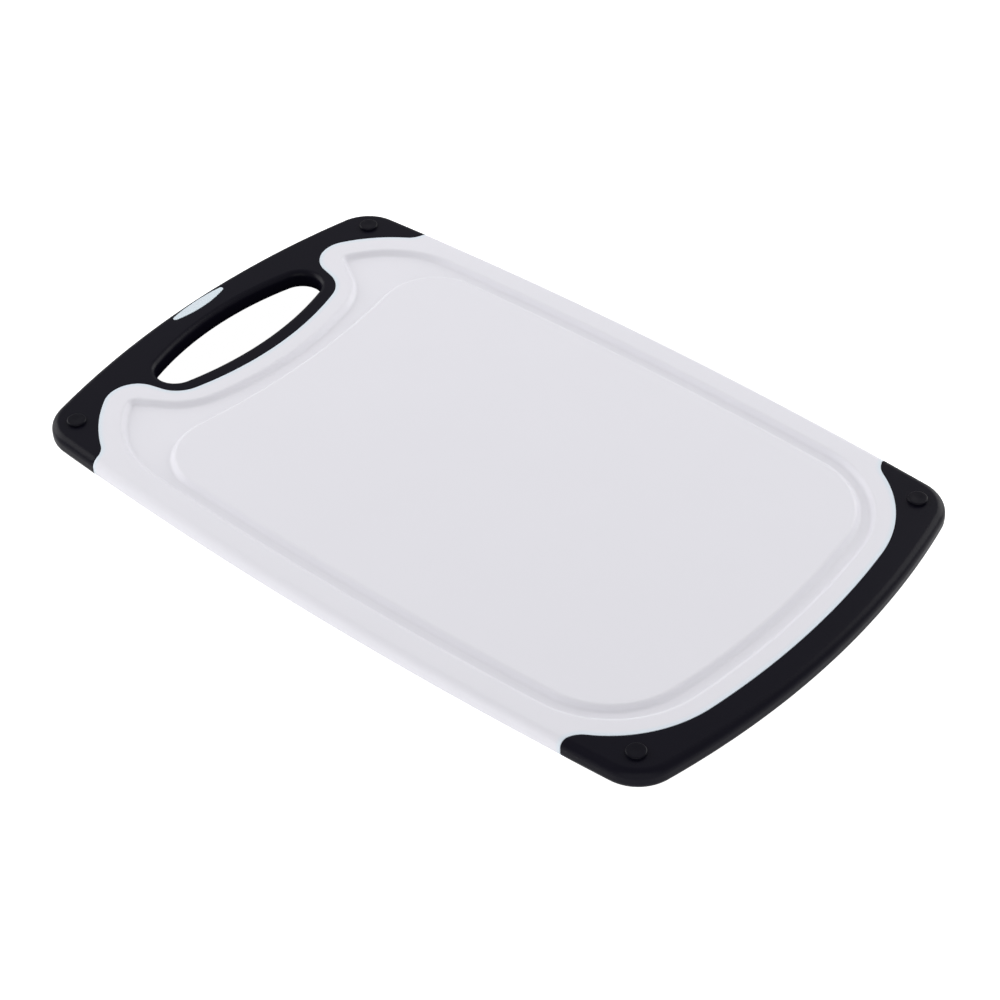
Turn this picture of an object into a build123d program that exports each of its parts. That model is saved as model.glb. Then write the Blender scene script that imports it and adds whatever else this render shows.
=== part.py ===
"""A reversible plastic cutting board with a soft black grip moulded over each end.

Frame: +X runs from the hand slot to the plain end, +Z is up. The origin is on the surface the board stands
on, under the middle of the board. Millimetres.
"""

from build123d import *
import os

# Driving dimensions: the slab
LENGTH = 370.0  # over the middle of the two bowed ends
WIDTH = 228.0  # over the middle of the two bowed sides
THICKNESS = 9.6
END_BOW = 14.5  # how far each end bulges past its corners
SIDE_BOW = 6.8  # how far each side bulges past its corners
CORNER_RADIUS = 20.0
EDGE_RADIUS = 3.8  # rounding of the outer edge, on both faces

# Hand slot
SLOT_CENTRE_X = -152.8
SLOT_WIDTH = 31.8  # across its middle
SLOT_LENGTH = 100.0
SLOT_SIDE_RADIUS = 150.0  # both long walls bulge outwards
SLOT_CORNER_RADIUS = 10.0
SLOT_RIM_RADIUS = 2.8

# Where the handle grip meets the white core, for y above zero; the other half is its mirror image
SHOULDER_X = 134.0  # where the handle grip crosses the sides of the board
SHOULDER_RADIUS = 11.0
HANDLE_SHOULDER = (-SHOULDER_X, 102.9)
LOBE_ARC_MIDDLE = (-155.5, 85.1)
LOBE_TIP = (-168.4, 60.6)
LOBE_TIP_RADIUS = 14.0
LINING_CORNER = (-138.45, 53.1)
LINING_CORNER_RADIUS = 16.0
LINING_MIDDLE_X = -128.7

# Where the end grip meets the white core
END_SHOULDER_X = 133.1
END_SHOULDER = (END_SHOULDER_X, 103.1)
END_ARC_MIDDLE = (154.6, 86.3)
END_BLEND = (167.4, 57.0)
END_MIDDLE_X = 171.9

# Juice groove, with a wider pool in each lobe beside the handle
GROOVE_DEPTH = 2.4
GROOVE_WALL_DRAFT = 40.0  # degrees between the walls of the groove and the vertical
GROOVE_RIM_RADIUS = 2.0
GROOVE_FLOOR_RADIUS = 2.0
GROOVE_OUTER_SIDE_Y = 101.7
GROOVE_OUTER_END_X = 163.0
GROOVE_OUTER_END_RADIUS = 50.0
END_CORNER_FALL = 12.0  # from the middle of the groove's end to where its end and side would cross
POOL_BLEND = (-108.0, 98.97)
POOL_ARC_MIDDLE = (-139.5, 87.0)
POOL_HORN = (-153.5, 69.0)
POOL_HORN_RADIUS = 4.0
POOL_CORNER = (-129.5, 54.3)
POOL_CORNER_RADIUS = 30.0
POOL_MIDDLE_X = -120.0
GROOVE_INNER_SIDE_Y = 93.1
GROOVE_INNER_END_X = 154.4
GROOVE_INNER_END_RADIUS = 38.0
DECK_CORNER = (-122.0, 89.6)
DECK_CORNER_RADIUS = 25.0
DECK_MIDDLE_X = -110.0

# Tongues: the thin rim of the core that each grip is moulded around
GRIP_SKIN = 2.2  # soft plastic above and below a tongue
TONGUE_INSET = 5.0  # from the outer edge of the board
SLOT_LINING = 2.6  # soft plastic between the slot and the tongue
ANCHOR_RADIUS = 2.0  # holes that the soft plastic runs through
HANDLE_ANCHORS = [(-176.0, 24.0), (-169.0, 72.0), (-146.5, 100.5)]
END_ANCHORS = [(176.0, 0.0), (174.6, 28.0), (171.7, 54.0), (146.5, 101.0)]

# Corner studs, with a head on each face
STUD_X = 159.6
STUD_Y = 95.4
STUD_HEAD_RADIUS = 4.3
STUD_SHANK_RADIUS = 2.6
STUD_PROUD = 1.3
STUD_EDGE_RADIUS = 0.5

# Badge plate let into the middle of the handle
BADGE_OUTER_X = -182.5
BADGE_INNER_X = -176.5
BADGE_POINT = (-180.1, 19.6)
BADGE_POINT_RADIUS = 1.3
BADGE_DEPTH = 1.6

BOTTOM = STUD_PROUD  # underside of the slab, held off the table by the studs
TOP = BOTTOM + THICKNESS
OUTSIDE = 40.0  # how far the cutting zones reach past the slab


def pair(builder, spot):
    """The vertices of a sketch nearest a spot and its mirror image across the long axis."""
    x, y = spot
    return [builder.vertices().sort_by_distance((x, side * y))[0] for side in (1, -1)]


def mirrored(spots):
    """Spots above the long axis, with the mirror image of each that isn't on it."""
    return [(x, side * y) for x, y in spots for side in (1, -1) if y > 0 or side > 0]


os.makedirs("parts", exist_ok=True)

# ---------------------------------------------------------------- plan shapes


def slab_sketch(inset):
    """The outline of the slab, drawn in all round by an inset: four bowed edges and four round corners."""
    end_x = LENGTH / 2 - inset
    side_y = WIDTH / 2 - inset
    corner_x = end_x - END_BOW
    corner_y = side_y - SIDE_BOW
    with BuildSketch() as shape:
        with BuildLine():
            ThreePointArc((corner_x, -corner_y), (end_x, 0), (corner_x, corner_y))
            ThreePointArc((corner_x, corner_y), (0, side_y), (-corner_x, corner_y))
            ThreePointArc((-corner_x, corner_y), (-end_x, 0), (-corner_x, -corner_y))
            ThreePointArc((-corner_x, -corner_y), (0, -side_y), (corner_x, -corner_y))
        make_face()
        fillet(shape.vertices(), radius=CORNER_RADIUS - inset)
    return shape.sketch


def slot_sketch(wall):
    """The hand slot grown all round by a wall: two long arcs about fixed centres, and short straight ends."""
    radius = SLOT_SIDE_RADIUS + wall
    half = SLOT_WIDTH / 2 + wall
    end_y = SLOT_LENGTH / 2 + wall
    sag = radius - (radius**2 - end_y**2) ** 0.5
    left = SLOT_CENTRE_X - half + sag
    right = SLOT_CENTRE_X + half - sag
    with BuildSketch() as shape:
        with BuildLine():
            ThreePointArc((right, -end_y), (SLOT_CENTRE_X + half, 0), (right, end_y))
            Line((right, end_y), (left, end_y))
            ThreePointArc((left, end_y), (SLOT_CENTRE_X - half, 0), (left, -end_y))
            Line((left, -end_y), (right, -end_y))
        make_face()
        fillet(shape.vertices(), radius=SLOT_CORNER_RADIUS + wall)
    return shape.sketch


outline = slab_sketch(0)
tongue_limit = slab_sketch(TONGUE_INSET)
slot = slot_sketch(0)
lined_slot = slot_sketch(SLOT_LINING)

far_left = -LENGTH / 2 - OUTSIDE
far_side = WIDTH / 2 + OUTSIDE
with BuildSketch() as handle_zone:
    with BuildLine():
        Polyline((far_left, 0), (far_left, far_side), (-SHOULDER_X, far_side), HANDLE_SHOULDER)
        ThreePointArc(HANDLE_SHOULDER, LOBE_ARC_MIDDLE, LOBE_TIP)
        Line(LOBE_TIP, LINING_CORNER)
        mirror(about=Plane.XZ)
        ThreePointArc(LINING_CORNER, (LINING_MIDDLE_X, 0), (LINING_CORNER[0], -LINING_CORNER[1]))
    make_face()
    fillet(pair(handle_zone, HANDLE_SHOULDER), radius=SHOULDER_RADIUS)
    fillet(pair(handle_zone, LOBE_TIP), radius=LOBE_TIP_RADIUS)
    fillet(pair(handle_zone, LINING_CORNER), radius=LINING_CORNER_RADIUS)

far_right = LENGTH / 2 + OUTSIDE
with BuildSketch() as end_zone:
    with BuildLine():
        Polyline((far_right, 0), (far_right, far_side), (END_SHOULDER_X, far_side), END_SHOULDER)
        ThreePointArc(END_SHOULDER, END_ARC_MIDDLE, END_BLEND)
        mirror(about=Plane.XZ)
        ThreePointArc(END_BLEND, (END_MIDDLE_X, 0), (END_BLEND[0], -END_BLEND[1]))
    make_face()
    fillet(pair(end_zone, END_SHOULDER), radius=SHOULDER_RADIUS)

side_fall = SIDE_BOW / (LENGTH / 2 - END_BOW) ** 2  # how fast a side curves away from its middle


def side_spot(middle_y, x):
    """The point at x of a line that runs along the side, middle_y from the long axis at its middle."""
    return (x, middle_y - side_fall * x**2)


outer_end = side_spot(GROOVE_OUTER_SIDE_Y, GROOVE_OUTER_END_X - END_CORNER_FALL)
with BuildSketch() as groove_outer:
    with BuildLine():
        ThreePointArc(outer_end, (0, GROOVE_OUTER_SIDE_Y), POOL_BLEND)
        ThreePointArc(POOL_BLEND, POOL_ARC_MIDDLE, POOL_HORN)
        Line(POOL_HORN, POOL_CORNER)
        mirror(about=Plane.XZ)
        ThreePointArc(POOL_CORNER, (POOL_MIDDLE_X, 0), (POOL_CORNER[0], -POOL_CORNER[1]))
        ThreePointArc(outer_end, (GROOVE_OUTER_END_X, 0), (outer_end[0], -outer_end[1]))
    make_face()
    fillet(pair(groove_outer, outer_end), radius=GROOVE_OUTER_END_RADIUS)
    fillet(pair(groove_outer, POOL_HORN), radius=POOL_HORN_RADIUS)
    fillet(pair(groove_outer, POOL_CORNER), radius=POOL_CORNER_RADIUS)

inner_end = side_spot(GROOVE_INNER_SIDE_Y, GROOVE_INNER_END_X - END_CORNER_FALL)
with BuildSketch() as deck:
    with BuildLine():
        ThreePointArc(inner_end, (0, GROOVE_INNER_SIDE_Y), DECK_CORNER)
        mirror(about=Plane.XZ)
        ThreePointArc(DECK_CORNER, (DECK_MIDDLE_X, 0), (DECK_CORNER[0], -DECK_CORNER[1]))
        ThreePointArc(inner_end, (GROOVE_INNER_END_X, 0), (inner_end[0], -inner_end[1]))
    make_face()
    fillet(pair(deck, inner_end), radius=GROOVE_INNER_END_RADIUS)
    fillet(pair(deck, DECK_CORNER), radius=DECK_CORNER_RADIUS)

with BuildSketch() as badge_shape:
    with BuildLine():
        point_x, point_y = BADGE_POINT
        ThreePointArc((point_x, point_y), (BADGE_OUTER_X, 0), (point_x, -point_y))
        ThreePointArc((point_x, -point_y), (BADGE_INNER_X, 0), (point_x, point_y))
    make_face()
    fillet(badge_shape.vertices(), radius=BADGE_POINT_RADIUS)

with BuildSketch() as stud_spots:
    with Locations(*mirrored([(-STUD_X, STUD_Y), (STUD_X, STUD_Y)])):
        Circle(STUD_SHANK_RADIUS)

# ---------------------------------------------------------------- the whole slab, before it is shared out

with BuildPart() as slab:
    with BuildSketch(Plane.XY.offset(BOTTOM)):
        add(outline)
    extrude(amount=THICKNESS)
    outer_edges = slab.edges().group_by(Axis.Z)
    fillet(outer_edges[0] + outer_edges[-1], radius=EDGE_RADIUS)
    with BuildSketch(Plane.XY.offset(BOTTOM)):
        add(slot)
    extrude(amount=THICKNESS, mode=Mode.SUBTRACT)
    slot_edges = slab.edges(Select.LAST).group_by(Axis.Z)
    fillet(slot_edges[0] + slot_edges[-1], radius=SLOT_RIM_RADIUS)
    with BuildSketch(Plane.XY.offset(TOP)):
        add(groove_outer.sketch)
        add(deck.sketch, mode=Mode.SUBTRACT)
    extrude(amount=-GROOVE_DEPTH, taper=GROOVE_WALL_DRAFT, mode=Mode.SUBTRACT)
    groove_edges = slab.edges(Select.LAST).group_by(Axis.Z)
    fillet(groove_edges[0], radius=GROOVE_FLOOR_RADIUS)
    fillet(groove_edges[-1], radius=GROOVE_RIM_RADIUS)

# ---------------------------------------------------------------- white core

with BuildPart() as handle_block:
    with BuildSketch():
        add(handle_zone.sketch)
    extrude(amount=TOP + OUTSIDE)

with BuildPart() as end_block:
    with BuildSketch():
        add(end_zone.sketch)
    extrude(amount=TOP + OUTSIDE)

with BuildPart() as handle_tongue:
    with BuildSketch(Plane.XY.offset(BOTTOM + GRIP_SKIN)):
        add(tongue_limit)
        add(handle_zone.sketch, mode=Mode.INTERSECT)
        add(lined_slot, mode=Mode.SUBTRACT)
        add(stud_spots.sketch, mode=Mode.SUBTRACT)
        with Locations(*mirrored(HANDLE_ANCHORS)):
            Circle(ANCHOR_RADIUS, mode=Mode.SUBTRACT)
    extrude(amount=THICKNESS - 2 * GRIP_SKIN)

with BuildPart() as end_tongue:
    with BuildSketch(Plane.XY.offset(BOTTOM + GRIP_SKIN)):
        add(tongue_limit)
        add(end_zone.sketch, mode=Mode.INTERSECT)
        add(stud_spots.sketch, mode=Mode.SUBTRACT)
        with Locations(*mirrored(END_ANCHORS)):
            Circle(ANCHOR_RADIUS, mode=Mode.SUBTRACT)
    extrude(amount=THICKNESS - 2 * GRIP_SKIN)

with BuildPart() as board_core:
    add(slab.part)
    add(handle_block.part, mode=Mode.SUBTRACT)
    add(end_block.part, mode=Mode.SUBTRACT)
    add(handle_tongue.part)
    add(end_tongue.part)
board_core.part.label = "board_core"
export_step(board_core.part, "parts/board_core.step")

# ---------------------------------------------------------------- soft grips

with BuildPart() as handle_grip:
    add(slab.part)
    add(handle_block.part, mode=Mode.INTERSECT)
    add(handle_tongue.part, mode=Mode.SUBTRACT)
    with BuildSketch(Plane.XY.offset(TOP)):
        add(badge_shape.sketch)
    extrude(amount=-BADGE_DEPTH, mode=Mode.SUBTRACT)
    with BuildSketch():
        add(stud_spots.sketch)
    extrude(amount=TOP + STUD_PROUD, mode=Mode.SUBTRACT)
handle_grip.part.label = "handle_grip"
export_step(handle_grip.part, "parts/handle_grip.step")

with BuildPart() as end_grip:
    add(slab.part)
    add(end_block.part, mode=Mode.INTERSECT)
    add(end_tongue.part, mode=Mode.SUBTRACT)
    with BuildSketch():
        add(stud_spots.sketch)
    extrude(amount=TOP + STUD_PROUD, mode=Mode.SUBTRACT)
end_grip.part.label = "end_grip"
export_step(end_grip.part, "parts/end_grip.step")

# ---------------------------------------------------------------- badge plate

with BuildPart() as badge_plate:
    with BuildSketch(Plane.XY.offset(TOP - BADGE_DEPTH)):
        add(badge_shape.sketch)
    extrude(amount=BADGE_DEPTH)
    add(slab.part, mode=Mode.INTERSECT)
badge_plate.part.label = "badge_plate"
export_step(badge_plate.part, "parts/badge_plate.step")

# ---------------------------------------------------------------- corner studs

stud_places = {
    "stud_handle_front": (-STUD_X, -STUD_Y),
    "stud_handle_back": (-STUD_X, STUD_Y),
    "stud_end_front": (STUD_X, -STUD_Y),
    "stud_end_back": (STUD_X, STUD_Y),
}
for name, place in stud_places.items():
    with BuildPart() as stud:
        with BuildSketch():
            with Locations(place):
                Circle(STUD_HEAD_RADIUS)
        extrude(amount=STUD_PROUD)
        with BuildSketch(Plane.XY.offset(BOTTOM)):
            with Locations(place):
                Circle(STUD_SHANK_RADIUS)
        extrude(amount=THICKNESS)
        with BuildSketch(Plane.XY.offset(TOP)):
            with Locations(place):
                Circle(STUD_HEAD_RADIUS)
        extrude(amount=STUD_PROUD)
        rings = stud.edges().filter_by(GeomType.CIRCLE).group_by(Axis.Z)
        fillet(rings[0] + rings[-1], radius=STUD_EDGE_RADIUS)
    stud.part.label = name
    export_step(stud.part, f"parts/{name}.step")
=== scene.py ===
"""Finish of a cutting board: white plastic core, soft black end grips, badge plate and corner studs.

The plan lines below are in millimetres, with +X from the hand slot to the plain end. Meshes are in metres.
"""

import cmath
import math

import bmesh
import bpy
import numpy as np
from bpy.props import FloatProperty, FloatVectorProperty, PointerProperty
from mathutils import Matrix, Vector
from mathutils.geometry import delaunay_2d_cdt
from mathutils.kdtree import KDTree


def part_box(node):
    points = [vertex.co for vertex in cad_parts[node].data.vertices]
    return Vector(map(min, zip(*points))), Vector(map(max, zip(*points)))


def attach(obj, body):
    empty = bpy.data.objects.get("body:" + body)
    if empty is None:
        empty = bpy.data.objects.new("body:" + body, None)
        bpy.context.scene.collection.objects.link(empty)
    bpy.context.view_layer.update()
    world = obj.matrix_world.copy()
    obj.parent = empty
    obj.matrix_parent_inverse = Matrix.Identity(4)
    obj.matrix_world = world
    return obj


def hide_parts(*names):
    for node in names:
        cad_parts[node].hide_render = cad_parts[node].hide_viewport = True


bl_info = {
    "name": "Cutting Board",
    "version": (1, 0, 0),
    "blender": (4, 5, 0),
    "location": "3D View > Sidebar > Board",
    "description": "Moulds and finishes a reversible cutting board with soft end grips",
    "category": "Object",
}

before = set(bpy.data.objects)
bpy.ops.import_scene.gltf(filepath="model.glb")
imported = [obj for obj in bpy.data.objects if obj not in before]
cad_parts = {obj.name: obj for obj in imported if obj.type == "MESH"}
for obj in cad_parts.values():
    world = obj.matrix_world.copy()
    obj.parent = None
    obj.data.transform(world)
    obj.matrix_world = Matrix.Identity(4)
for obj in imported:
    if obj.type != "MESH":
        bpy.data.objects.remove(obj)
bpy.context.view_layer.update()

MM = 0.001
FAR = 1.0  # gap, in metres, for a feature that a piece doesn't have
CORE_LOW, CORE_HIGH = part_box("board_core")
BADGE_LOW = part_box("badge_plate")[0]

# ---------------------------------------------------------------- plan lines, in millimetres

LONGEST_STEP = 4.0  # between points on a gentle curve
TURN_STEP = math.radians(3.0)  # between points on a tight one
NEARLY_STRAIGHT = 0.001  # bow given to a straight run, so that every run is an arc
BEYOND = 150.0  # reach of the zones past the middle of the board's sides

HALF_LENGTH = 185.0
HALF_WIDTH = 114.0
CORNER_SPOT = (170.5, 107.2)
CORNER_RADIUS = 20.0

SLOT_X = -152.8
SLOT_HALF_WIDTH = 15.9
SLOT_HALF_LENGTH = 50.0
SLOT_SIDE_RADIUS = 150.0
SLOT_CORNER_RADIUS = 10.0

STUD_SPOT = (159.6, 95.4)

# Where the grips meet the core, above the long axis
SHOULDER_RADIUS = 11.0
HANDLE_SHOULDER = (-134.0, 102.9)
LOBE_ARC_MIDDLE = (-155.5, 85.1)
LOBE_TIP = (-168.4, 60.6)
LOBE_TIP_RADIUS = 14.0
LINING_CORNER = (-138.45, 53.1)
LINING_CORNER_RADIUS = 16.0
LINING_MIDDLE_X = -128.7
END_SHOULDER = (133.1, 103.1)
END_ARC_MIDDLE = (154.6, 86.3)
END_BLEND = (167.4, 57.0)
END_MIDDLE_X = 171.9

# The outer edge of the juice groove, with its pool in a lobe, and the edge of the deck that it surrounds
GROOVE_SIDE_Y = 101.7
GROOVE_CORNER_X = 151.0
GROOVE_CORNER_RADIUS = 50.0
GROOVE_END_X = 163.0
POOL_BLEND = (-108.0, 98.97)
POOL_ARC_MIDDLE = (-139.5, 87.0)
POOL_HORN = (-153.5, 69.0)
POOL_HORN_RADIUS = 4.0
POOL_CORNER = (-129.5, 54.3)
POOL_CORNER_RADIUS = 30.0
POOL_MIDDLE_X = -120.0
DECK_SIDE_Y = 93.1
DECK_END_CORNER_X = 142.4
DECK_END_CORNER_RADIUS = 38.0
DECK_END_X = 154.4
DECK_CORNER = (-122.0, 89.6)
DECK_CORNER_RADIUS = 25.0
DECK_MIDDLE_X = -110.0

BADGE_POINT = (-180.1, 19.6)
BADGE_POINT_RADIUS = 1.3
BADGE_INNER_X = -176.5
BADGE_OUTER_X = -182.5

# How fast the long lines of the groove curve away from their middles, as the sides of the board do
SIDE_FALL = (HALF_WIDTH - CORNER_SPOT[1]) / CORNER_SPOT[0] ** 2


def arc_through(start, via, end):
    """Centre, radius and sense (1 is anticlockwise) of the arc from start to end by way of via."""
    if via is None:
        via = (start + end) / 2 + 1j * NEARLY_STRAIGHT * (end - start) / abs(end - start)
    ratio = (end - start) / (via - start)
    centre = start + (via - start) * (ratio - abs(ratio) ** 2) / (2j * ratio.imag)
    sense = math.copysign(1, ((via - start).conjugate() * (end - via)).imag)
    return centre, abs(start - centre), sense


def rounding(before, after, corner, radius):
    """Centre and sense of the arc that rounds the corner between two arcs, and where it touches each."""
    (centre0, radius0, sense0), (centre1, radius1, sense1) = before, after
    heading_in = 1j * sense0 * (corner - centre0)
    heading_out = 1j * sense1 * (corner - centre1)
    sense = math.copysign(1, (heading_in.conjugate() * heading_out).imag)
    reach0 = radius0 - sense0 * sense * radius
    reach1 = radius1 - sense1 * sense * radius
    between = centre1 - centre0
    along = (reach0**2 - reach1**2 + abs(between) ** 2) / (2 * abs(between))
    across = 1j * math.sqrt(reach0**2 - along**2)
    options = [centre0 + (along + side * across) * between / abs(between) for side in (1, -1)]
    centre = min(options, key=lambda spot: abs(spot - corner))
    touch0 = centre0 + radius0 * (centre - centre0) / abs(centre - centre0)
    touch1 = centre1 + radius1 * (centre - centre1) / abs(centre - centre1)
    return centre, sense, touch0, touch1


def walk(centre, sense, start, end):
    """Points and left-hand normals from the start of an arc to just short of its end."""
    if abs(end - start) < NEARLY_STRAIGHT:
        return []
    radius = abs(start - centre)
    sweep = sense * cmath.phase((end - centre) / (start - centre)) % (2 * math.pi)
    count = math.ceil(radius * sweep / min(LONGEST_STEP, radius * TURN_STEP))
    arms = [(start - centre) * cmath.exp(1j * sense * sweep * k / count) for k in range(count)]
    return [(centre + arm, -sense * arm / radius) for arm in arms]


def closed_line(upper, first_via=None, last_via=None):
    """Points and inward normals of a closed line that is its own mirror image across the long axis.

    upper lists the corners above the axis, anticlockwise: x, y, rounding radius, and a spot on the arc to
    the next corner or None. first_via and last_via are where the line crosses the axis, before and after.
    """
    spots = [complex(x, y) for x, y, radius, via in upper]
    radii = [radius for x, y, radius, via in upper]
    vias = [complex(*via) if via else None for x, y, radius, via in upper[:-1]]
    crossings = [complex(*via) if via else None for via in (first_via, last_via)]
    spots = [spot.conjugate() for spot in reversed(spots)] + spots
    radii = radii[::-1] + radii
    vias = [via and via.conjugate() for via in reversed(vias)] + [crossings[0]] + vias + [crossings[1]]
    count = len(spots)
    sides = [arc_through(spots[k], vias[k], spots[(k + 1) % count]) for k in range(count)]
    rounds = []
    for k, spot in enumerate(spots):
        if radii[k]:
            rounds.append(rounding(sides[k - 1], sides[k], spot, radii[k]))
        else:
            rounds.append((spot + 1, 1, spot, spot))
    walked = []
    for k in range(count):
        centre, sense, touch0, touch1 = rounds[k]
        walked += walk(centre, sense, touch0, touch1)
        walked += walk(sides[k][0], sides[k][2], touch1, rounds[(k + 1) % count][2])
    points, normals = np.array(walked).T
    return points, normals


def long_side(middle_y, x):
    """A spot on a long line of the groove, middle_y from the axis at its middle."""
    return x, middle_y - SIDE_FALL * x**2


SLOT_SAG = SLOT_SIDE_RADIUS - math.sqrt(SLOT_SIDE_RADIUS**2 - SLOT_HALF_LENGTH**2)
SLOT_END_HALF = SLOT_HALF_WIDTH - SLOT_SAG

OUTLINE = closed_line(
    [(*CORNER_SPOT, CORNER_RADIUS, (0, HALF_WIDTH)), (-CORNER_SPOT[0], CORNER_SPOT[1], CORNER_RADIUS, None)],
    (HALF_LENGTH, 0),
    (-HALF_LENGTH, 0),
)
SLOT = closed_line(
    [
        (SLOT_X + SLOT_END_HALF, SLOT_HALF_LENGTH, SLOT_CORNER_RADIUS, None),
        (SLOT_X - SLOT_END_HALF, SLOT_HALF_LENGTH, SLOT_CORNER_RADIUS, None),
    ],
    (SLOT_X + SLOT_HALF_WIDTH, 0),
    (SLOT_X - SLOT_HALF_WIDTH, 0),
)
HANDLE_ZONE = closed_line(
    [
        (*LINING_CORNER, LINING_CORNER_RADIUS, None),
        (*LOBE_TIP, LOBE_TIP_RADIUS, LOBE_ARC_MIDDLE),
        (*HANDLE_SHOULDER, SHOULDER_RADIUS, None),
        (HANDLE_SHOULDER[0], BEYOND, 0, None),
        (-HALF_LENGTH - BEYOND, BEYOND, 0, None),
    ],
    (LINING_MIDDLE_X, 0),
)
END_ZONE = closed_line(
    [
        (HALF_LENGTH + BEYOND, BEYOND, 0, None),
        (END_SHOULDER[0], BEYOND, 0, None),
        (*END_SHOULDER, SHOULDER_RADIUS, END_ARC_MIDDLE),
        (*END_BLEND, 0, None),
    ],
    None,
    (END_MIDDLE_X, 0),
)
GROOVE_OUTER = closed_line(
    [
        (*long_side(GROOVE_SIDE_Y, GROOVE_CORNER_X), GROOVE_CORNER_RADIUS, (0, GROOVE_SIDE_Y)),
        (*POOL_BLEND, 0, POOL_ARC_MIDDLE),
        (*POOL_HORN, POOL_HORN_RADIUS, None),
        (*POOL_CORNER, POOL_CORNER_RADIUS, None),
    ],
    (GROOVE_END_X, 0),
    (POOL_MIDDLE_X, 0),
)
DECK = closed_line(
    [
        (*long_side(DECK_SIDE_Y, DECK_END_CORNER_X), DECK_END_CORNER_RADIUS, (0, DECK_SIDE_Y)),
        (*DECK_CORNER, DECK_CORNER_RADIUS, None),
    ],
    (DECK_END_X, 0),
    (DECK_MIDDLE_X, 0),
)
BADGE = closed_line([(*BADGE_POINT, BADGE_POINT_RADIUS, None)], (BADGE_INNER_X, 0), (BADGE_OUTER_X, 0))


def gaps(spots, line):
    """Distance from each spot to a closed line, above zero inside it, with the line's normal there."""
    points, normals = line
    tree = KDTree(len(points))
    for k, point in enumerate(points):
        tree.insert((point.real, point.imag, 0), k)
    tree.balance()
    nearest = np.array([tree.find((spot.real, spot.imag, 0))[1] for spot in spots])
    best = np.full(len(spots), np.inf)
    signed = np.zeros(len(spots))
    for first in (nearest - 1, nearest):
        start = points[first]
        run = points[(first + 1) % len(points)] - start
        part = np.clip(((spots - start) * run.conjugate()).real / abs(run) ** 2, 0, 1)
        away = spots - start - part * run
        nearer = abs(away) < best
        best = np.where(nearer, abs(away), best)
        signed = np.where(nearer, (run.conjugate() * (spots - start)).imag, signed)
    return np.copysign(best, signed), normals[nearest]


def inside(line):
    """A measure of the plan: how far a spot is inside a closed line."""
    return lambda spots: gaps(spots, line)[0]


def outside(line):
    """A measure of the plan: how far a spot is outside a closed line."""
    return lambda spots: -gaps(spots, line)[0]


def least(*measures):
    """The least of several measures of the plan."""
    return lambda spots: np.min([measure(spots) for measure in measures], axis=0)


def quarter_steps(radius, count):
    """Gaps at which a quarter round of that radius is divided, from its edge inwards."""
    return [radius * (1 - math.cos(math.pi / 2 * k / count)) for k in range(count + 1)]


def ring(line, gap, window):
    """The part of a line, moved inwards by a gap, that lies in a window of the plan, with its edges."""
    points = line[0] + gap * line[1]
    seen = (points.real > window[0]) & (points.real < window[1]) & (abs(points.imag) < window[2])
    place = np.cumsum(seen) - 1
    after = np.roll(np.arange(len(points)), -1)
    edges = [(place[k], place[after[k]]) for k in np.nonzero(seen & seen[after])[0]]
    return points[seen], edges


ALL_TRIANGLES = 0  # the kind of result asked of the triangulation
SAME_SPOT = 1e-5  # millimetres between points that count as one


def flat_sheet(name, rings, extent):
    """A flat mesh with every ring among its edges, kept where a measure of the plan is above zero."""
    spots, edges = [], []
    for points, runs in rings:
        edges += [(len(spots) + a, len(spots) + b) for a, b in runs]
        spots += [Vector((point.real, point.imag)) for point in points]
    corners, _, faces, *_ = delaunay_2d_cdt(spots, edges, [], ALL_TRIANGLES, SAME_SPOT, False)
    plan = np.array([complex(*corner) for corner in corners])
    faces = np.array(faces)
    faces = faces[extent(plan[faces].mean(axis=1)) > 0]
    used, faces = np.unique(faces, return_inverse=True)
    plan = plan[used]
    mesh = bpy.data.meshes.new(name)
    spots = np.column_stack([plan.real, plan.imag, np.zeros(len(plan))]) * MM
    mesh.from_pydata(spots, [], faces.reshape(-1, 3))
    return mesh, plan


def store_gap(mesh, name, values):
    """Puts a distance, given in millimetres, on every point of a mesh."""
    layer = mesh.attributes.new(name, "FLOAT", "POINT")
    layer.data.foreach_set("value", np.broadcast_to(values * MM, len(mesh.vertices)).astype(np.float32))


def store_direction(mesh, name, values):
    """Puts a direction of the plan on every point of a mesh."""
    layer = mesh.attributes.new(name, "FLOAT_VECTOR", "POINT")
    flat = np.column_stack([values.real, values.imag, np.zeros(len(values))])
    layer.data.foreach_set("vector", flat.astype(np.float32).ravel())


# ---------------------------------------------------------------- node trees

WELD = 1e-6  # metres between points that are welded
SHARP_ANGLE = math.radians(40)


def new_tree(name, kind, inputs, outputs):
    """An empty node tree with named sockets, of the kinds given. Returns it with its end nodes."""
    tree = bpy.data.node_groups.new(name, kind)
    for direction, sockets in (("INPUT", inputs), ("OUTPUT", outputs)):
        for label, socket in sockets.items():
            tree.interface.new_socket(label, in_out=direction, socket_type="NodeSocket" + socket)
    return tree, tree.nodes.new("NodeGroupInput"), tree.nodes.new("NodeGroupOutput")


def add(tree, kind, sockets=None, **settings):
    """A new node with its settings and with each of its inputs linked or given a value."""
    node = tree.nodes.new(kind)
    for name, value in settings.items():
        setattr(node, name, value)
    for key, value in (sockets or {}).items():
        if isinstance(value, bpy.types.NodeSocket):
            tree.links.new(value, node.inputs[key])
        else:
            node.inputs[key].default_value = value
    return node


def maths(tree, operation, *values, **settings):
    """The result of a Math node."""
    return add(tree, "ShaderNodeMath", dict(enumerate(values)), operation=operation, **settings).outputs[0]


def clamped(tree, value, low, high):
    """A value held between two others."""
    return maths(tree, "MINIMUM", maths(tree, "MAXIMUM", value, low), high)


def vector_maths(tree, operation, *values):
    """The result of a Vector Math node."""
    return add(tree, "ShaderNodeVectorMath", dict(enumerate(values)), operation=operation).outputs[0]


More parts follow.
